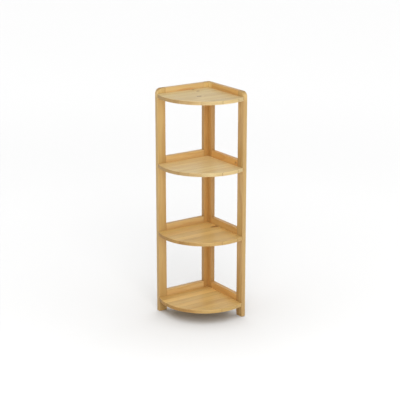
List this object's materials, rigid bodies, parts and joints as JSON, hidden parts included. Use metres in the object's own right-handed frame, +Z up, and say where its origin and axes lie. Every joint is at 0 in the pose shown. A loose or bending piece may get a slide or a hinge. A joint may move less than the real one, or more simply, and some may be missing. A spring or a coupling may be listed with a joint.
{
  "type": "corner shelf",
  "caption": "Free-standing corner shelf in lacquered pine: two ladder frames at right angles and shelves with a bowed front, open on all sides.",
  "frame": {"origin": "on the floor, under the middle of the bounding box", "axes": "+Z up. The frame that stands left in the picture runs along Y on the low X side, the other runs along X on the high Y side, and the bowed fronts face +X and -Y"},
  "size_m": [0.335, 0.335, 1.15],
  "materials": {
    "stile_pine": "clear satin lacquer on solid pine",
    "rail_pine": "clear satin lacquer on solid pine",
    "shelf_pine": "clear satin lacquer on panels glued up from pine staves",
    "dowel_beech": "plain turned beech",
    "screw_zinc": "zinc plated steel"
  },
  "bodies": {
    "root": {"rear_1_corner_dowel_lower": "dowel_beech", "rear_1_corner_dowel_upper": "dowel_beech", "rear_1_front_dowel_lower": "dowel_beech", "rear_1_front_dowel_upper": "dowel_beech", "rear_2_corner_dowel_lower": "dowel_beech", "rear_2_corner_dowel_upper": "dowel_beech", "rear_2_front_dowel_lower": "dowel_beech", "rear_2_front_dowel_upper": "dowel_beech", "rear_3_corner_dowel_lower": "dowel_beech", "rear_3_corner_dowel_upper": "dowel_beech", "rear_3_front_dowel_lower": "dowel_beech", "rear_3_front_dowel_upper": "dowel_beech", "rear_4_corner_dowel_lower": "dowel_beech", "rear_4_corner_dowel_upper": "dowel_beech", "rear_4_front_dowel_lower": "dowel_beech", "rear_4_front_dowel_upper": "dowel_beech", "rear_corner_stile": "stile_pine", "rear_front_stile": "stile_pine", "rear_rail_1": "rail_pine", "rear_rail_2": "rail_pine", "rear_rail_3": "rail_pine", "rear_rail_4": "rail_pine", "screw_1_rear_corner": "screw_zinc", "screw_1_rear_front": "screw_zinc", "screw_1_side": "screw_zinc", "screw_2_rear_corner": "screw_zinc", "screw_2_rear_front": "screw_zinc", "screw_2_side": "screw_zinc", "screw_3_rear_corner": "screw_zinc", "screw_3_rear_front": "screw_zinc", "screw_3_side": "screw_zinc", "screw_4_rear_corner": "screw_zinc", "screw_4_rear_front": "screw_zinc", "screw_4_side": "screw_zinc", "shelf_1": "shelf_pine", "shelf_2": "shelf_pine", "shelf_3": "shelf_pine", "shelf_4": "shelf_pine", "side_1_corner_dowel_lower": "dowel_beech", "side_1_corner_dowel_upper": "dowel_beech", "side_1_front_dowel_lower": "dowel_beech", "side_1_front_dowel_upper": "dowel_beech", "side_2_corner_dowel_lower": "dowel_beech", "side_2_corner_dowel_upper": "dowel_beech", "side_2_front_dowel_lower": "dowel_beech", "side_2_front_dowel_upper": "dowel_beech", "side_3_corner_dowel_lower": "dowel_beech", "side_3_corner_dowel_upper": "dowel_beech", "side_3_front_dowel_lower": "dowel_beech", "side_3_front_dowel_upper": "dowel_beech", "side_4_corner_dowel_lower": "dowel_beech", "side_4_corner_dowel_upper": "dowel_beech", "side_4_front_dowel_lower": "dowel_beech", "side_4_front_dowel_upper": "dowel_beech", "side_corner_stile": "stile_pine", "side_front_stile": "stile_pine", "side_rail_1": "rail_pine", "side_rail_2": "rail_pine", "side_rail_3": "rail_pine", "side_rail_4": "rail_pine"}
  },
  "joints": []
}
